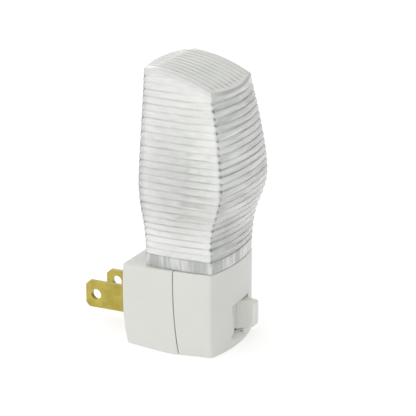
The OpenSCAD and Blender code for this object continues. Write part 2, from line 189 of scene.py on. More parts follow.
def remap(nt, fac, lo, hi, a=0.0, b=1.0):
    m = nt.nodes.new("ShaderNodeMapRange")
    m.inputs["From Min"].default_value, m.inputs["From Max"].default_value = a, b
    m.inputs["To Min"].default_value, m.inputs["To Max"].default_value = lo, hi
    nt.links.new(fac, m.inputs["Value"])
    return m.outputs["Result"]


def bump(nt, bsdf, height, strength, distance):
    b = nt.nodes.new("ShaderNodeBump")
    b.inputs["Strength"].default_value = strength
    b.inputs["Distance"].default_value = distance
    nt.links.new(height, b.inputs["Height"])
    nt.links.new(b.outputs["Normal"], bsdf.inputs["Normal"])


def plastic(name, colour, rough=(0.34, 0.44), spread=0.012, bump_s=0.12, sss=0.0):
    m, nt, b = node_mat(name)
    v = coords(nt)
    big = noise(nt, v, 60, 2)
    c0 = tuple(max(0, c - spread) for c in colour)
    c1 = tuple(min(1, c + spread) for c in colour)
    nt.links.new(ramp(nt, big, [(0.3, c0), (0.7, c1)]), b.inputs["Base Color"])
    mid = noise(nt, v, 420, 4)
    nt.links.new(remap(nt, mid, rough[0], rough[1], 0.3, 0.7), b.inputs["Roughness"])
    fine = noise(nt, v, 2600, 2)
    bump(nt, b, fine, bump_s, 0.00002)
    b.inputs["IOR"].default_value = 1.5
    if sss:
        b.inputs["Subsurface Weight"].default_value = sss
        b.inputs["Subsurface Radius"].default_value = (0.0012, 0.0011, 0.001)
        b.inputs["Subsurface Scale"].default_value = 1.0
    return m


def metal(name, colour, dark, rough=(0.22, 0.36), stretch=(600, 60, 600), bump_s=0.15, scale=1.0):
    """Rolled sheet metal: fine lines along one direction, and soft patches of tarnish."""
    m, nt, b = node_mat(name)
    lines = noise(nt, coords(nt, stretch), scale, 3, 0.6)
    patches = noise(nt, coords(nt), 240, 3)
    mix = nt.nodes.new("ShaderNodeMath")
    mix.operation = "MULTIPLY_ADD"
    mix.inputs[1].default_value = 0.5
    nt.links.new(lines, mix.inputs[0])
    nt.links.new(remap(nt, patches, 0.0, 0.5, 0.35, 0.65), mix.inputs[2])
    nt.links.new(ramp(nt, mix.outputs[0], [(0.2, dark), (0.75, colour)]), b.inputs["Base Color"])
    nt.links.new(remap(nt, lines, rough[0], rough[1], 0.3, 0.7), b.inputs["Roughness"])
    b.inputs["Metallic"].default_value = 1.0
    bump(nt, b, lines, bump_s, 0.00003)
    return m


def glass(name, colour, rough=0.02, ior=1.5):
    m, nt, b = node_mat(name)
    big = noise(nt, coords(nt), 90, 2)
    c0 = tuple(max(0, c - 0.02) for c in colour)
    nt.links.new(ramp(nt, big, [(0.35, c0), (0.7, colour)]), b.inputs["Base Color"])
    b.inputs["Transmission Weight"].default_value = 1.0
    b.inputs["Roughness"].default_value = rough
    b.inputs["IOR"].default_value = ior
    return m


OFF_WHITE = (0.635, 0.635, 0.607)
M_HOUSING = plastic("housing_plastic", OFF_WHITE, sss=0.0)
# painted light: the knob is the housing's white plastic made lighter, to make up for the light its pocket keeps from it
M_KNOB = plastic("knob_plastic", (0.70, 0.70, 0.67), rough=(0.30, 0.40))
# painted shade: the knob's colour darkens towards its root, where the recess shades it
_nt = M_KNOB.node_tree
_bs = next(x for x in _nt.nodes if x.type == "BSDF_PRINCIPLED")
_from = _bs.inputs["Base Color"].links[0].from_socket
_at = _nt.nodes.new("ShaderNodeAttribute")
_at.attribute_name = "root"
_mix = _nt.nodes.new("ShaderNodeMix")
_mix.data_type = "RGBA"
_nt.links.new(_at.outputs["Fac"], _mix.inputs["Factor"])
_nt.links.new(_from, _mix.inputs["A"])
# the painted shade colour at the root
_mix.inputs["B"].default_value = (0.585, 0.585, 0.56, 1)
_nt.links.new(_mix.outputs["Result"], _bs.inputs["Base Color"])
M_INNER = plastic("inner_plastic", (0.88, 0.875, 0.85), rough=(0.45, 0.6))
M_CEMENT = plastic("base_cement", (0.72, 0.69, 0.62), rough=(0.8, 0.95), spread=0.05, bump_s=0.5)
M_BRASS = metal("blade_brass", (0.52, 0.422, 0.10), (0.38, 0.305, 0.064), rough=(0.30, 0.42), stretch=(900, 90, 900), bump_s=0.1)
M_CONTACT = metal("contact_brass", (0.72, 0.60, 0.26), (0.55, 0.43, 0.16), rough=(0.3, 0.42))
M_BRONZE = metal("spring_bronze", (0.68, 0.44, 0.22), (0.52, 0.32, 0.15), rough=(0.3, 0.42))
M_STEEL = metal("screw_steel", (0.66, 0.67, 0.68), (0.5, 0.51, 0.52), rough=(0.25, 0.4), stretch=(500, 500, 500))
M_NICKEL = metal("base_nickel", (0.82, 0.81, 0.78), (0.68, 0.67, 0.65), rough=(0.3, 0.42), stretch=(120, 120, 900))
M_WIRE = metal("lead_wire", (0.02, 0.019, 0.018), (0.012, 0.012, 0.011), rough=(0.4, 0.5), stretch=(900, 900, 900))
M_TUNGSTEN = metal("tungsten", (0.12, 0.12, 0.13), (0.08, 0.08, 0.085), rough=(0.4, 0.5), stretch=(900, 900, 900))
M_BLACK = plastic("black_glass", (0.02, 0.02, 0.022), rough=(0.08, 0.16), spread=0.005, bump_s=0.05)
M_BULB = glass("bulb_glass", (0.97, 0.98, 0.97), rough=0.0, ior=1.45)


def clear_plastic(name, rough, milk, ridge, cut, patches=(70, 0.015), veiled=False, streaks=None, blocks=False):
    """Clear moulded plastic with a slight haze. Painted shade darkens the valleys between the ribs, and the edges and
    bands that the mesh marks.
    """
    m, nt, b = node_mat(name)
    at = nt.nodes.new("ShaderNodeAttribute")
    at.attribute_name = "painted_shading"
    along = tuple(0.03 * c if c > 100 else c for c in streaks) if streaks else (1, 1, 1)
    big = noise(nt, coords(nt, (1, 1, 0.12) if blocks else along), 6.0 if streaks else patches[0], 3)
    tone = ramp(nt, big, [(0.43 if blocks else 0.35, tuple(c - patches[1] for c in ridge)), (0.57 if blocks else 0.65, ridge)])
    # the painted shade in the grooves is darker in some places than in others
    uneven = nt.nodes.new("ShaderNodeMath")
    uneven.operation = "MULTIPLY"
    nt.links.new(at.outputs["Fac"], uneven.inputs[0])
    nt.links.new(remap(nt, noise(nt, coords(nt, (0.7, 0.7, 7)), 90, 3), 0.35, 1.7, 0.35, 0.65), uneven.inputs[1])
    mix = nt.nodes.new("ShaderNodeMix")
    mix.data_type = "RGBA"
    nt.links.new(uneven.outputs[0], mix.inputs["Factor"])
    nt.links.new(tone, mix.inputs["A"])
    # painted shade: the cut colour, laid in along the valleys, edges and bands
    mix.inputs["B"].default_value = (*cut, 1)
    nt.links.new(mix.outputs["Result"], b.inputs["Base Color"])
    fine = noise(nt, coords(nt), 900, 2)
    nt.links.new(remap(nt, fine, rough * 0.8, rough * 1.2, 0.3, 0.7), b.inputs["Roughness"])
    b.inputs["Transmission Weight"].default_value = 1.0 - milk
    if veiled:
        # clearest in the middle of the sides, milkier towards the ends
        hz = nt.nodes.new("ShaderNodeAttribute")
        hz.attribute_name = "haze"
        nt.links.new(remap(nt, hz.outputs["Fac"], 1.0, 0.0), b.inputs["Transmission Weight"])
    if streaks:
        # fine drawn lines along the ribs, which spread what shows through only across them
        bump(nt, b, noise(nt, coords(nt, streaks), 1.0, 2), 1.0, 0.000006)
    b.inputs["IOR"].default_value = 1.58
    return m


M_CLEAR = clear_plastic("clear_plastic", 0.05, 0.34, (0.995, 0.998, 0.985), (0.26, 0.29, 0.27), patches=(0, 0.09), veiled=True, streaks=(40, 40, 4000))
# painted shade: the top's copy of the clear plastic has a darker tone than the sides', to take back light it gets from
# above
M_CLEAR_TOP = clear_plastic("clear_plastic_top", 0.20, 0.52, (0.94, 0.95, 0.925), (0.22, 0.25, 0.23), patches=(0, 0.03), streaks=(4000, 40, 40))
M_CLEAR_IN = clear_plastic("clear_plastic_inside", 0.07, 0.05, (0.99, 0.995, 0.985), (0.99, 0.995, 0.985))
M_CLEAR_FAR = clear_plastic("clear_plastic_frosted", 0.18, 0.10, (0.99, 0.995, 0.985), (0.99, 0.995, 0.985))
# painted shade and reflection: the foot band's copy is darker than the walls' and blotched with dark blocks, standing
# in for the housing and socket seen through it
M_CLEAR_BAND = clear_plastic("clear_plastic_foot", 0.05, 0.68, (0.87, 0.885, 0.87), (0.30, 0.33, 0.31), patches=(340, 0.30), blocks=True)

CAD_MATS = {
    "cover_screw": M_STEEL, "neutral_blade": M_BRASS, "line_blade": M_BRASS, "blade_retainer": M_INNER,
    "neutral_strap": M_CONTACT, "line_terminal": M_CONTACT, "load_terminal": M_CONTACT, "centre_contact": M_BRONZE,
    "terminal_rivets": M_STEEL, "socket_body": M_INNER, "screw_shell": M_CONTACT, "contact_carrier": M_INNER,
    "moving_contact": M_BRONZE, "bulb_glass": M_BULB, "bulb_base_shell": M_NICKEL, "bulb_base_cement": M_CEMENT,
    "bulb_insulator": M_BLACK, "bulb_tip_contact": M_NICKEL, "bulb_stem": M_BULB, "bulb_lead_wires": M_WIRE,
    "bulb_filament": M_TUNGSTEN, "filament_support": M_TUNGSTEN, "rear_housing": M_HOUSING, "front_cover": M_HOUSING,
    "switch_knob": M_KNOB, "shade": M_CLEAR,
}
for n, o in NODES.items():
    o.data.materials.clear()
    o.data.materials.append(CAD_MATS[n])


# ------------------------------------------------------------------ housing
REAR_W, SIDE_R, BOW_R, HOUSING_D = 15.75, 138.0, 47.2, 29.1
SEAM_Y, SEAM_R, SEAM_GAP = 15.75, 142.0, 0.16
BOW_CY = BOW_R - HOUSING_D
C106, S106 = math.cos(math.radians(10.6)), math.sin(math.radians(10.6))
SKIN = 0.03            # the rounded form lies this far inside the CAD's outer faces


def half_width(y, z):
    side = REAR_W - 0.12 - SIDE_R + math.sqrt(SIDE_R ** 2 - (y + 5) ** 2)
    cx = REAR_W - 48 / C106
    taper = cx + (math.sqrt(48 ** 2 - (z - 17) ** 2) - y * S106) / C106
    k = 0.3
    a = -k * math.log(math.exp(-(side - 14) / k) + math.exp(-(taper - 14) / k)) + 14
    # the front corners draw in a little at the very bottom
    t = min(1.0, max(0.0, (-y - 14) / 9))
    return a - 0.7 * max(0.0, 1 - z / 7) ** 2 * t * t * (3 - 2 * t)


def bow_y(x):
    return BOW_CY - math.sqrt(BOW_R ** 2 - x ** 2)


def seam_at(z, gap):
    return -SEAM_Y - SEAM_R + math.sqrt((SEAM_R + gap) ** 2 - (z - 22) ** 2)


def fillet_path(segs, radii):
    """A closed ring from curved segments, with the corner after each one rounded.
    segs: list of (n, 2) arrays, each ending where the next starts. radii: one per corner."""
    n = len(segs)
    cut = []
    for i in range(n):
        a, b = segs[i], segs[(i + 1) % n]
        d1 = a[-1] - a[-2]
        d2 = b[1] - b[0]
        d1, d2 = d1 / np.linalg.norm(d1), d2 / np.linalg.norm(d2)
        turn = math.acos(max(-1, min(1, float(d1 @ d2))))
        cut.append(radii[i] * math.tan(turn / 2))
    out = []
    for i in range(n):
        s = segs[i]
        step = np.r_[0, np.cumsum(np.linalg.norm(np.diff(s, axis=0), axis=1))]
        a, b = cut[i - 1], step[-1] - cut[i]
        t = np.linspace(a, b, len(s))
        pts = np.c_[np.interp(t, step, s[:, 0]), np.interp(t, step, s[:, 1])]
        out.append(pts)
    ring = []
    for i in range(n):
        ring += list(out[i])
        p0, p1 = out[i][-1], out[(i + 1) % n][0]
        c = segs[i][-1]
        if radii[i] > 0:
            for t in (0.2, 0.4, 0.6, 0.8):   # a conic through the tangent points, close to an arc
                w = math.sqrt(0.5)
                den = (1 - t) ** 2 + 2 * w * t * (1 - t) + t * t
                ring.append(((1 - t) ** 2 * p0 + 2 * w * t * (1 - t) * c + t * t * p1) / den)
    return ring


def line(a, b, n):
    t = np.linspace(0, 1, n)[:, None]
    return np.array(a, float) * (1 - t) + np.array(b, float) * t


def rear_ring(z, o, zz):
    """Outline of the rear shell at height zz: o is how far it is drawn in at the rims."""
    oi = o + SKIN
    ys = seam_at(z, SEAM_GAP / 2) + min(o, 0.22) + 0.01
    yb = -oi
    ysd = np.linspace(yb, ys, 26)
    right = np.array([(half_width(y, z) - oi, y) for y in ysd])
    left = np.array([(-(half_width(y, z) - oi), y) for y in ysd[::-1]])
    segs = [right, line((right[-1][0], ys), (left[0][0], ys), 16), left, line((left[-1][0], yb), (right[0][0], yb), 16)]
    pts = fillet_path(segs, [0.3, 0.3, 0.45, 0.45])
    return [(p[0], p[1], zz) for p in pts]


def front_ring(z, o, zz):
    oi = o + SKIN
    ys = seam_at(z, -SEAM_GAP / 2) - min(o, 0.22) - 0.01
    # where the side meets the bow
    lo, hi = -30.0, -22.0
    for _ in range(40):
        mid = (lo + hi) / 2
        x = half_width(mid, z) - oi
        if mid > BOW_CY - math.sqrt((BOW_R - oi) ** 2 - x * x):
            hi = mid
        else:
            lo = mid
    yc = (lo + hi) / 2
    xc = half_width(yc, z) - oi
    ysd = np.linspace(ys, yc, 18)
    right = np.array([(half_width(y, z) - oi, y) for y in ysd])
    left = np.array([(-(half_width(y, z) - oi), y) for y in ysd[::-1]])
    xs = np.linspace(xc, -xc, 40)
    bow = np.array([(x, BOW_CY - math.sqrt((BOW_R - oi) ** 2 - x * x)) for x in xs])
    bow[0], bow[-1] = right[-1], left[0]
    segs = [right, bow, left, line((left[-1][0], ys), (right[0][0], ys), 16)]
    pts = fillet_path(segs, [1.0, 1.0, 0.3, 0.3])
    return [(p[0], p[1], zz) for p in pts]


def rounded_form(name, ring, r_low, r_high):
    rings = []
    for a in (0, 18, 36, 54, 72, 90):
        a = math.radians(a)
        z = SKIN + r_low * (1 - math.cos(a))
        rings.append(ring(z, r_low * (1 - math.sin(a)), z))
    for z in np.linspace(r_low + SKIN, H - SKIN - r_high, 26)[1:-1]:
        rings.append(ring(z, 0.0, z))
    for a in (90, 72, 54, 36, 18, 0):
        a = math.radians(a)
        z = H - SKIN - r_high * (1 - math.cos(a))
        rings.append(ring(z, r_high * (1 - math.sin(a)), z))
    v, f = loft(rings)
    return link(name, mesh_from(name, v, f))


def shell(node, ring, r_low, r_high):
    """The CAD shell with rounded rims and corners: its inside and openings are the CAD's own."""
    form = rounded_form("form_tmp", ring, r_low, r_high)
    o = cad_copy(node, node + "_visual")
    boolean(o, form, "INTERSECT")
    drop(form)
    me = o.data
    bm = bmesh.new()
    bm.from_mesh(me)
    bmesh.ops.remove_doubles(bm, verts=bm.verts, dist=2e-7)
    bmesh.ops.dissolve_degenerate(bm, dist=2e-7, edges=bm.edges)
    bm.to_mesh(me)
    bm.free()
    me.materials.clear()
    me.materials.append(M_HOUSING)
    shade_smooth(me, 34)
    w = o.modifiers.new("normals", "WEIGHTED_NORMAL")
    w.keep_sharp = True
    w.weight = 60
    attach(o, "housing")
    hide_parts(node)
    return o


rear = shell("rear_housing", rear_ring, 0.35, 0.35)
front = shell("front_cover", front_ring, 0.35, 0.45)


# ------------------------------------------------------------------ switch knob
def make_knob():
    sx, pw = 2.7, 10.4
    kx1 = sx + pw / 2 - 0.35
    kx0 = kx1 - 5.3
    zc = 8.25
    y0, y1 = -27.60, -32.25
    rings = []
    rt = 0.5
    ys = [0, 0.08, 0.18, 0.3, 0.45, 0.65, 0.9, 1.2, 1.6, 2.1, 2.6, 3.0, 3.4, 3.7, 3.9, y0 - y1 - rt]
    ends = [(y0 - q, 0.0) for q in ys] + [(y1 + rt - rt * math.sin(math.radians(a)), math.radians(a)) for a in (22, 44, 66, 90)]
    for y, a in ends:
        inset = rt * (1 - math.cos(a))
        q = y0 - y
        tt = q / (y0 - y1)
        scoop = 1.75 * max(0.0, 1 - q / 2.6) ** 2.6              # the flank runs out in a hollow curve onto the plate
        xl = kx0 + 1.97 - 0.15 * tt - scoop + inset
        xr = kx1 - 0.08 - 0.2 * tt - inset
        zl = zc - 4.66 + 0.16 * tt + 0.9 * max(0.0, (q - 2.7) / 1.9) ** 2 + inset
        zh = zc + 4.0 - 0.42 * tt - inset
        r_low = max(0.05, 0.25 + 0.75 * tt ** 2 - inset)
        r_high = max(0.05, 0.25 + 0.3 * tt - inset)
        ring = []
        for cx, cz, r, a0 in ((xr, zh, r_high, 0), (xl, zh, r_high, 90), (xl, zl, r_low, 180), (xr, zl, r_low, 270)):
            sxn = -1 if cx == xr else 1
            szn = -1 if cz == zh else 1
            ox, oz = cx + sxn * r, cz + szn * r
            for b in (0, 15, 30, 45, 60, 75, 90):
                b = math.radians(a0 + b)
                ring.append((ox + r * math.cos(b), y, oz + r * math.sin(b)))
        rings.append(ring)
    v, f = loft(rings)
    kc = (kx0 + kx1) / 2
    me_parts = [(v, f)]
    bv, bf = [], []
    for z in (zc - 4.75, zc + 3.85):
        box_faces(bv, bf, kx1 - 1.85, kx1 - 0.25, -27.7, -24.1, z, z + 0.4)
    pv, pf = [], []
    plate = []
    for y, i in ((-27.415, 0.0), (-27.45, 0.0), (-27.56, 0.06), (-27.63, 0.2)):
        ring = []
        for cx, cz, a0 in ((kx1 - 0.02, zc + 4.38, 0), (kx0 + 0.02, zc + 4.38, 90), (kx0 + 0.02, zc - 4.73, 180), (kx1 - 0.02, zc - 4.73, 270)):
            ox = cx - (0.3 if cx > kx0 + 1 else -0.3)
            oz = cz - (0.3 if cz > zc else -0.3)
            for b in (0, 30, 60, 90):
                b = math.radians(a0 + b)
                ring.append((ox + (0.3 - i) * math.cos(b), y, oz + (0.3 - i) * math.sin(b)))
        plate.append(ring)
    pv, pf = loft(plate)
    n = len(bv)
    bv += pv
    bf += [[n + i for i in q] for q in pf]
    box_faces(bv, bf, kx1 - 1.85, kx1 - 0.25, -24.4, -24.1, zc - 4.75, zc - 2.9)
    box_faces(bv, bf, kx1 - 1.85, kx1 - 0.25, -24.4, -24.1, zc + 2.9, zc + 4.25)
    n = len(v)
    v = v + bv
    f = f + [[n + i for i in q] for q in bf]
    # painted shade: how deep each point lies in the recess's shade, darkest at the knob's root
    root = [min(1.0, max(0.0, 1 - (y0 - p[1] - 0.3) / 2.6)) for p in v]
    me = mesh_from("switch_knob_visual", v, f, merge=0, values={"root": root})
    me.materials.append(M_KNOB)
    shade_smooth(me, 35)
    o = link("switch_knob_visual", me)
    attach(o, "switch")
    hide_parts("switch_knob")
    return o


knob = make_knob()

# ------------------------------------------------------------------ shade
ST = np.array([[0, 13.35, 27.05, 6.5], [4, 13.7, 27.2, 6.65], [8, 14.2, 27.4, 6.8], [11, 14.7, 27.8, 6.8],
               [14, 15.4, 28.6, 6.7], [17, 15.8, 29.6, 6.35], [20, 15.8, 30.5, 5.9], [23, 15.55, 30.95, 5.5],
               [26, 15.25, 31.0, 5.35], [31, 14.85, 30.55, 5.4], [36, 14.3, 29.85, 5.45], [41, 13.75, 29.05, 5.55],
               [46, 13.3, 28.0, 5.7], [51, 12.85, 26.95, 5.8], [57, 12.6, 26.1, 6.0]])
FRONT_SAG, BACK_SAG, SIDE_SAG = 1.8, 2.4, 0.7
SHADE_Z = H + 0.1
SHADE_T = 1.2
TOP_R = 46.5
SHADE_H = 57.5
PITCH, RIB0, RIBS = 1.981, 3.56, 27


def st(h, c):
    i = int(min(max(np.searchsorted(ST[:, 0], h, side="right") - 1, 0), len(ST) - 2))
    w = ST[i + 1, 0] - ST[i, 0]
    u = (h - ST[i, 0]) / w

    def rise(j):
        a, b = max(j - 1, 0), min(j + 1, len(ST) - 1)
        return (ST[b, c] - ST[a, c]) / (ST[b, 0] - ST[a, 0])

    return (ST[i, c] * (2 * u ** 3 - 3 * u * u + 1) + rise(i) * w * (u ** 3 - 2 * u * u + u)
            + ST[i + 1, c] * (3 * u * u - 2 * u ** 3) + rise(i + 1) * w * (u ** 3 - u * u))


def top_z(y):
    return H + SHADE_H - max(0.0, -y - 4.2) ** 2 / (2 * TOP_R)


# Positions along each side, crowded near the corners. The right half runs front middle, side, back middle.
def crowd(n, near):
    """n+1 places from 0 to 1, with extra ones near 1 (and near 0 if near == 2)."""
    base = np.linspace(0, 1, n + 1)
    extra = [0.86, 0.9, 0.93, 0.955, 0.975, 0.99]
    if near == 2:
        extra += [1 - e for e in extra]
    return np.unique(np.round(np.r_[base, extra], 4))


UF = crowd(10, 1)
US = crowd(14, 2)
UR = crowd(10, 1)


def half_outline(h, t):
    W, F, R = st(h, 1) - t, st(h, 2) - t, st(h, 3) + t
    a = [(W * u, -F - FRONT_SAG * (1 - u * u)) for u in UF]
    b = [(W + SIDE_SAG * (1 - (2 * u - 1) ** 2), -F + (F - R) * u) for u in US[1:]]
    c = [(W * u, -R + BACK_SAG * (1 - u * u)) for u in UR[::-1][1:]]
    return np.array(a + b + c)


def full_outline(h, t, soft):
    """Closed outline at height h, drawn in by t, with its corners softened over the length soft.
    Order: front middle, right side, back middle, left side."""
    half = half_outline(h, t)
    left = half[1:-1][::-1] * np.array([-1, 1])
    ring = np.vstack([half, left])
    if soft > 0:
        # dense arc-length resample, moving average, and back at the same stations
        closed = np.vstack([ring, ring[:1]])
        s = np.r_[0, np.cumsum(np.linalg.norm(np.diff(closed, axis=0), axis=1))]
        total = s[-1]
        m = 1400
        q = np.linspace(0, total, m, endpoint=False)
        dx, dy = np.interp(q, s, closed[:, 0]), np.interp(q, s, closed[:, 1])
        k = max(1, int(round(soft / total * m)))
        kern = np.ones(2 * k + 1) / (2 * k + 1)
        ax = np.convolve(np.r_[dx[-k:], dx, dx[:k]], kern, "valid")
        ay = np.convolve(np.r_[dy[-k:], dy, dy[:k]], kern, "valid")
        ring = np.c_[np.interp(s[:-1], np.r_[q, total], np.r_[ax, ax[0]]),
                     np.interp(s[:-1], np.r_[q, total], np.r_[ay, ay[0]])]
    return ring


def inward(ring):
    """Unit inward normals of a closed ring that runs anticlockwise seen from above (front, right, back, left)."""
    nxt, prv = np.roll(ring, -1, 0), np.roll(ring, 1, 0)
    d = nxt - prv
    n = np.c_[-d[:, 1], d[:, 0]]
    return n / np.linalg.norm(n, axis=1)[:, None]


RIB_D, NOTCH_D, NOTCH_W = 0.15, 0.06, 0.19


def rib_depth(h):
    """How far the surface lies behind the crests at height h: flat ribs with a narrow notch between them."""
    if h < RIB0 - 0.001:
        return 0.0
    ph = ((h - RIB0) / PITCH) % 1.0
    x = (ph - 0.5) * PITCH
    R = (PITCH ** 2 / 4 + RIB_D ** 2) / (2 * RIB_D)
    d = min(ph, 1 - ph) * PITCH
    return RIB_D - (math.sqrt(R * R - x * x) - (R - RIB_D)) + NOTCH_D * max(0.0, 1 - d / NOTCH_W)


def smoothstep(x):
    x = min(1.0, max(0.0, x))
    return x * x * (3 - 2 * x)


def make_shade():
    soft = 0.3
    nf, ns, nb = len(UF), len(US), len(UR)
    half = nf + ns - 1 + nb - 1              # points 0 .. half-1 are the right half
    n = len(full_outline(10, 0, 0))
    mid = full_outline(30, 0, 0)
    corners = [nf - 1, nf + ns - 2, n - (nf - 1), n - (nf + ns - 2)]
    dist = np.min([np.linalg.norm(mid - mid[c], axis=1) for c in corners], axis=0)
    to_front = np.min([np.linalg.norm(mid - mid[c], axis=1) for c in (corners[0], corners[2])], axis=0)
    fold = [k if k < half else n - k for k in range(n)]
    on_side = np.array([nf - 1 < fold[k] < nf + ns - 2 for k in range(n)])
    # the top edge is rounder at the front and back than along the sides
    edge_r = np.array([0.32 if on_side[k] else 0.32 + 0.5 * smoothstep((dist[k] - 0.2) / 2.0) for k in range(n)])

    # heights of the outer rows
    rows = [0.0, 0.15, 0.5, 1.2, 2.2, 3.0, 3.4]
    for k in range(RIBS):
        rows += [RIB0 + (k + p) * PITCH for p in (0, 0.05, 0.1, 0.17, 0.3, 0.5, 0.7, 0.83, 0.9, 0.95)]
    rows = [h for h in rows if h < SHADE_H]
    # painted shade: kinds also sets how dark each outer point is painted
    verts, faces, kinds = [], [], []         # kinds: what each outer point is, for the groove attribute
    base = [full_outline(h, 0.0, soft) for h in rows]
    ring_ids, last = [], None
    done = np.zeros(n, bool)
    for h, ring in zip(rows, base):
        nin = inward(ring)
        ids = []
        for k in range(n):
            x, y = ring[k]
            drop_k = edge_r[k] * 0.98
            limit = top_z(y) - drop_k
            z = SHADE_Z + h
            if z >= limit - 0.02:
                if done[k]:
                    ids.append(last[k])
                    continue
                hh = h
                for _ in range(6):
                    rr = full_outline(hh, 0.0, soft)
                    hh = top_z(rr[k][1]) - drop_k - SHADE_Z
                p = rr[k]
                verts.append((p[0], p[1], SHADE_Z + hh))
                kinds.append(("wall", k, hh))
                done[k] = True
            else:
                d = rib_depth(h) * smoothstep((limit - z) / 1.0)
                d *= 1 + 0.5 * math.exp(-(dist[k] / 0.5) ** 2)          # the cuts run out a little deeper over the corners
                verts.append((x + nin[k][0] * d, y + nin[k][1] * d, z))
                kinds.append(("wall", k, h))
            ids.append(len(verts) - 1)
        ring_ids.append(ids)
        last = ids
    band_faces = 0
    for i, (a, b) in enumerate(zip(ring_ids[:-1], ring_ids[1:])):
        for k in range(n):
            l = (k + 1) % n
            q = [a[k], a[l], b[l], b[k]]
            u = [q[i] for i in range(4) if q[i] != q[i - 1]]
            if len(set(u)) >= 3:
                faces.append(u)
        if rows[i + 1] <= RIB0 + 1e-6:
            band_faces = len(faces)
    # rounded top edge
    top = np.array([verts[i] for i in last])
    nin = inward(top[:, :2])
    prev = last
    for a in (15, 30, 45, 60, 75, 90):
        a = math.radians(a)
        ids = []
        for k in range(n):
            r = edge_r[k]
            o = r * (1 - math.cos(a))
            x, y = top[k][0] + nin[k][0] * o, top[k][1] + nin[k][1] * o
            verts.append((x, y, top_z(y) - r * 0.98 * (1 - math.sin(a))))
            kinds.append(("edge", k, a))
            ids.append(len(verts) - 1)
        for k in range(n):
            l = (k + 1) % n
            faces.append([prev[k], prev[l], ids[l], ids[k]])
        prev = ids
    # the ribbed top: rows across the width joining mirrored points
    wall_faces = len(faces)
    rim = np.array([verts[i] for i in prev])
    TP, TN, TD = 2.4, 4, 0.2
    xs = sorted({round(s * (j + p) * TP, 5) for s in (-1, 1) for j in range(TN + 1) for p in (0, 0.06, 0.15, 0.3, 0.5, 0.7, 0.85, 0.94)
                 if (j + p) * TP <= TN * TP + 0.001})
    xs = sorted(set(xs) | {-11.9, -11.2, -10.6, -10.1, -9.8, 9.8, 10.1, 10.6, 11.2, 11.9})
    Rt = (TP ** 2 / 4 + TD ** 2) / (2 * TD)

    def top_depth(x):
        ax = abs(x)
        if ax > TN * TP:
            return TD * max(0.0, 1 - (ax - TN * TP) / 1.1) ** 2
        ph = (ax / TP) % 1.0
        q = (ph - 0.5) * TP
        return TD - (math.sqrt(Rt * Rt - q * q) - (Rt - TD))

    back = rim[:half][::-1][:nb]

    def ends(x, y):
        """Distances from a point of the top to its front and back edges."""
        return (y - np.interp(abs(x), rim[:nf, 0], rim[:nf, 1]), np.interp(abs(x), back[:, 0], back[:, 1]) - y)

    grid = []
    for k in range(half):
        xk, yk, zk = rim[k]
        ids = []
        kl = (n - k) % n
        for j, x in enumerate([-1e9] + xs + [1e9]):
            if j == 0:
                ids.append(prev[kl])
            elif j == len(xs) + 1:
                ids.append(prev[k])
            elif abs(x) >= xk - 0.05:
                ids.append(prev[kl] if x < 0 else prev[k])
            else:
                a, b = ends(x, yk)
                fade = smoothstep((a - 0.5) / 0.9) * smoothstep((b - 0.5) / 1.0)
                verts.append((x, yk, top_z(yk) - top_depth(x) * fade))
                kinds.append(("top", x, yk))
                ids.append(len(verts) - 1)
        grid.append(ids)
    for a, b in zip(grid[:-1], grid[1:]):
        for j in range(len(a) - 1):
            q = [a[j], a[j + 1], b[j + 1], b[j]]
            u = [q[i] for i in range(4) if q[i] != q[i - 1]]
            if len(set(u)) >= 3:
                faces.append(u)
    n_outer, n_outer_faces = len(verts), len(faces)
    # inside: smooth, its own rings
    soft_in, top_t = 0.8, 1.3
    inner_rows = [0.0, 1.0, 2.0, 3.2, 4.2] + list(np.linspace(5.5, SHADE_H - 1.4, 40))
    t_at = lambda h: SHADE_T + 0.5 * (1 - smoothstep((h - 2.6) / 1.6))
    last, done, ring_in = None, np.zeros(n, bool), []
    for h in inner_rows:
        ring = full_outline(h, t_at(h), soft_in)
        ids = []
        for k in range(n):
            x, y = ring[k]
            limit = top_z(y) - top_t
            z = SHADE_Z + h
            if z >= limit - 0.02:
                if done[k]:
                    ids.append(last[k])
                    continue
                hh = h
                for _ in range(6):
                    rr = full_outline(hh, SHADE_T, soft_in)
                    hh = top_z(rr[k][1]) - top_t - SHADE_Z
                verts.append((rr[k][0], rr[k][1], SHADE_Z + hh))
                done[k] = True
            else:
                verts.append((x, y, z))
            ids.append(len(verts) - 1)
        ring_in.append(ids)
        last = ids
    for a, b in zip(ring_in[:-1], ring_in[1:]):
        for k in range(n):
            l = (k + 1) % n
            q = [a[l], a[k], b[k], b[l]]
            u = [q[i] for i in range(4) if q[i] != q[i - 1]]
            if len(set(u)) >= 3:
                faces.append(u)
    rim_in = np.array([verts[i] for i in last])
    grid = []
    xin = list(np.linspace(-10.5, 10.5, 15))
    for k in range(half):
        xk, yk, zk = rim_in[k]
        kl = (n - k) % n
        ids = [last[kl]]
        for x in xin:
            if abs(x) >= xk - 0.05:
                ids.append(last[kl] if x < 0 else last[k])
            else:
                verts.append((x, yk, top_z(yk) - top_t))
                ids.append(len(verts) - 1)
        ids.append(last[k])
        grid.append(ids)
    for a, b in zip(grid[:-1], grid[1:]):
        for j in range(len(a) - 1):
            q = [a[j + 1], a[j], b[j], b[j + 1]]
            u = [q[i] for i in range(4) if q[i] != q[i - 1]]
            if len(set(u)) >= 3:
                faces.append(u)
    # bottom rim
    a, b = ring_ids[0], ring_in[0]
    for k in range(n):
        l = (k + 1) % n
        faces.append([a[l], a[k], b[k], b[l]])
    # painted shade: how dark each point of the outside is painted: fine lines in the grooves, soft bands on the front
    # and back
    painted_shading, haze = [], []
    to_rear = np.min([np.linalg.norm(mid - mid[c], axis=1) for c in (corners[1], corners[3])], axis=0)

    def veil(kind, k, h):
        """How milky the plastic is: clearest in the middle of the sides, where the bulb shows."""
        if kind != "wall":
            return 0.62 if kind == "top" or on_side[k] else 0.52
        if not on_side[k]:
            return 0.5
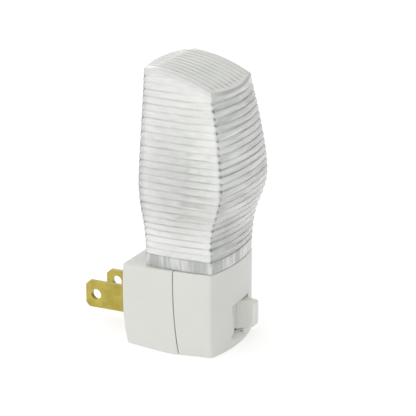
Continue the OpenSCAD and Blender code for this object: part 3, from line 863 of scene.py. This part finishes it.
        # distance from the bulb's middle, seen from the side
        rho = math.hypot((mid[k][1] - BULB_Y) / 16, (h - 27) / 24)
        return 0.60 - 0.27 * math.exp(-2.2 * rho ** 2) + 0.12 * (1 - smoothstep((h - 8) / 9))

    for kind, a, b in kinds:
        haze.append(veil(kind, a, b))
        g = 0.0
        if kind == "wall" and b > RIB0 - 0.6:
            k, h = a, b
            ph = ((h - RIB0) / PITCH) % 1.0
            d = min(ph, 1 - ph) * PITCH
            corner = math.exp(-(dist[k] / 0.6) ** 2)
            room = smoothstep((top_z(mid[k][1]) - SHADE_Z - h - 0.2) / 1.2)
            if on_side[k]:
                near = smoothstep((to_front[k] - 1.0) / 4.5)
                g = (0.13 + 0.14 * near) * (0.1 + 0.9 * smoothstep((top_z(mid[k][1]) - SHADE_Z - h - 3.0) / 3.0)) * math.exp(-(d / 0.22) ** 2)
            else:
                # painted shade: the front and back are darker all over, with a soft dark band just above each groove
                g = 0.24 + 0.22 * math.exp(-(d / 0.24) ** 2) + 0.18 * smoothstep(1 - abs(ph - 0.2) / 0.36)
            # painted shade: dark marks where the grooves run over the corners
            line = corner * (0.2 + 1.05 * math.exp(-(d / 0.42) ** 2)) * room
            g = max(g * room, line) if on_side[k] else max(g * (0.75 + 0.25 * room), line)
        # painted shade: a dark band along the rounded top edge at the front and back
        elif kind == "edge" and not on_side[a]:
            g = 0.1 + 0.26 * math.cos(b) ** 0.7 if math.cos(b) > 0 else 0.1
        # painted shade: dark lines in the top's grooves, darkest about 1.7 mm behind its front edge
        elif kind == "top":
            x, y = a, b
            if abs(x) < TN * TP + 0.3:
                f, r = ends(x, y)
                d = abs((abs(x) / TP + 0.5) % 1.0 - 0.5) * TP
                g = (0.30 * smoothstep((f - 0.2) / 0.5) + 0.35 * math.exp(-((f - 1.7) / 0.5) ** 2)) * smoothstep((r - 0.8) / 1.0)
                g *= math.exp(-(d / 0.24) ** 2)
        painted_shading.append(g)
    painted_shading += [0.0] * (len(verts) - len(painted_shading))
    haze += [0.1] * (len(verts) - len(haze))
    mats = [2] * band_faces + [0] * (n_outer_faces - band_faces)
    for i in range(wall_faces, n_outer_faces):
        mats[i] = 4
    for q in faces[n_outer_faces:]:
        c = np.mean([verts[i] for i in q], axis=0)
        mats.append(1 if c[0] < -9.5 and c[2] < H + SHADE_H - 8 else 3)
    # the top rounds over softly at the back
    verts = [(x, y, z - 0.5 * smoothstep((y + 9.4) / 3.6) * smoothstep((z - top_z(y) + 9) / 9)) for x, y, z in verts]
    me = mesh_from("shade_visual", verts, faces, merge=1e-8, values={"painted_shading": painted_shading, "haze": haze}, mats=mats)
    me.materials.append(M_CLEAR)
    me.materials.append(M_CLEAR_IN)
    me.materials.append(M_CLEAR_BAND)
    me.materials.append(M_CLEAR_FAR)
    me.materials.append(M_CLEAR_TOP)
    shade_smooth(me, 40)
    o = link("shade_visual", me)
    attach(o, "shade")
    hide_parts("shade")
    # tongues
    tv, tf = [], []
    for s in (-1, 1):
        x0, x1 = sorted((s * 10.47, s * 11.43))
        box_faces(tv, tf, x0, x1, BULB_Y - 5.45, BULB_Y + 5.45, H - 2.55, H + 2.9)
        x0, x1 = sorted((s * 10.47, s * 12.5))
        box_faces(tv, tf, x0, x1, BULB_Y - 5.45, BULB_Y + 5.45, H + 0.65, H + 2.5)
    tongue = link("shade_tongues", mesh_from("shade_tongues", tv, tf, merge=0))
    tongue.data.materials.append(M_CLEAR_FAR)
    bev = tongue.modifiers.new("bevel", "BEVEL")
    bev.width, bev.segments, bev.limit_method = 0.0002, 2, "ANGLE"
    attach(tongue, "shade")
    return o


shade = make_shade()

# ------------------------------------------------------------------ edges of the small CAD parts
BEVEL = {"neutral_blade": 0.00016, "line_blade": 0.00016, "blade_retainer": 0.0002, "line_terminal": 0.00008,
         "load_terminal": 0.00008, "neutral_strap": 0.00008, "contact_carrier": 0.00015}
for n, w in BEVEL.items():
    o = NODES[n]
    weld = o.modifiers.new("weld", "WELD")
    weld.merge_threshold = 1e-6
    flat = o.modifiers.new("flat", "DECIMATE")
    flat.decimate_type = "DISSOLVE"
    flat.angle_limit = math.radians(1)
    b = o.modifiers.new("bevel", "BEVEL")
    b.width, b.segments, b.limit_method, b.angle_limit = w, 2, "ANGLE", math.radians(35)
    b.harden_normals = True
    b.use_clamp_overlap = True

# ------------------------------------------------------------------ floor, lights, camera
floor_me = bpy.data.meshes.new("floor")
S = 4.0
fz = -PLUG_H * MM - 0.00002
floor_me.from_pydata([(-S, -S, fz), (S, -S, fz), (S, S, fz), (-S, S, fz)], [], [(0, 1, 2, 3)])
floor = link("floor", floor_me)
m, nt, b = node_mat("floor_paper")
nt.links.new(ramp(nt, noise(nt, coords(nt), 6, 2), [(0.3, (0.535, 0.535, 0.535)), (0.7, (0.545, 0.545, 0.545))]), b.inputs["Base Color"])
b.inputs["Roughness"].default_value = 0.95
b.inputs["Specular IOR Level"].default_value = 0.0
b.inputs["Emission Color"].default_value = (1, 1, 1, 1)
b.inputs["Emission Strength"].default_value = 0.54
floor_me.materials.append(m)

world = bpy.data.worlds.new("studio")
bpy.context.scene.world = world
world.use_nodes = True
wt = world.node_tree
bg = wt.nodes["Background"]
tc = wt.nodes.new("ShaderNodeTexCoord")
dot = wt.nodes.new("ShaderNodeVectorMath")
dot.operation = "DOT_PRODUCT"
dot.inputs[1].default_value = (-0.44, 0.16, 0.55)      # brightest above and to the left
wt.links.new(tc.outputs["Generated"], dot.inputs[0])
amount = wt.nodes.new("ShaderNodeMath")
amount.operation = "ADD"
amount.use_clamp = False
amount.inputs[1].default_value = 0.615
wt.links.new(dot.outputs["Value"], amount.inputs[0])
# a pale wall behind the object, on the right, shines through its clear shade
wall = wt.nodes.new("ShaderNodeVectorMath")
wall.operation = "DOT_PRODUCT"
wall.inputs[1].default_value = (0.78, 0.58, -0.9)
wt.links.new(tc.outputs["Generated"], wall.inputs[0])
lit = wt.nodes.new("ShaderNodeMath")
lit.operation = "MAXIMUM"
lit.inputs[1].default_value = 0.0
wt.links.new(wall.outputs["Value"], lit.inputs[0])
near = wt.nodes.new("ShaderNodeMath")
near.operation = "POWER"
near.inputs[1].default_value = 3.0
wt.links.new(lit.outputs[0], near.inputs[0])
total = wt.nodes.new("ShaderNodeMath")
total.operation = "MULTIPLY_ADD"
total.inputs[1].default_value = 2.6
wt.links.new(near.outputs[0], total.inputs[0])
wt.links.new(amount.outputs[0], total.inputs[2])
wt.links.new(total.outputs[0], bg.inputs[1])
bg.inputs[0].default_value = (1.0, 1.0, 0.985, 1)


def area(name, loc, target, size, power, colour=(1, 1, 1)):
    d = bpy.data.lights.new(name, "AREA")
    d.shape, d.size, d.energy, d.color = "DISK", size, power, colour
    o = bpy.data.objects.new(name, d)
    bpy.context.scene.collection.objects.link(o)
    o.location = loc
    o.rotation_mode = "QUATERNION"
    o.rotation_quaternion = (Vector(target) - Vector(loc)).to_track_quat("-Z", "Y")
    return o


area("key", (-0.8, 0.1, 0.6), (0, -0.015, 0.03), 0.45, 0.25)

cam_data = bpy.data.cameras.new("camera")
cam = bpy.data.objects.new("camera", cam_data)
bpy.context.scene.collection.objects.link(cam)
AZ, EL, DIST = math.radians(-64.0396), math.radians(18.1021), 0.65
back = Vector((math.sin(AZ) * math.cos(EL), -math.cos(AZ) * math.cos(EL), math.sin(EL)))
target = Vector(row(15.4798, -12.0, 34.1272))
cam.location = target + back * DIST
cam.rotation_mode = "QUATERNION"
cam.rotation_quaternion = (-back).to_track_quat("-Z", "Y")
cam_data.sensor_width = 36.0
cam_data.lens = 2234.97 * 36.0 / 416.0
cam_data.clip_start, cam_data.clip_end = 0.01, 20
bpy.context.scene.camera = cam

sc = bpy.context.scene
sc.cycles.max_bounces = 24
sc.cycles.transmission_bounces = 24
sc.view_settings.view_transform = "Standard"
sc.view_settings.look = "None"
sc.view_settings.exposure = 0.0
sc.view_settings.gamma = 1.0
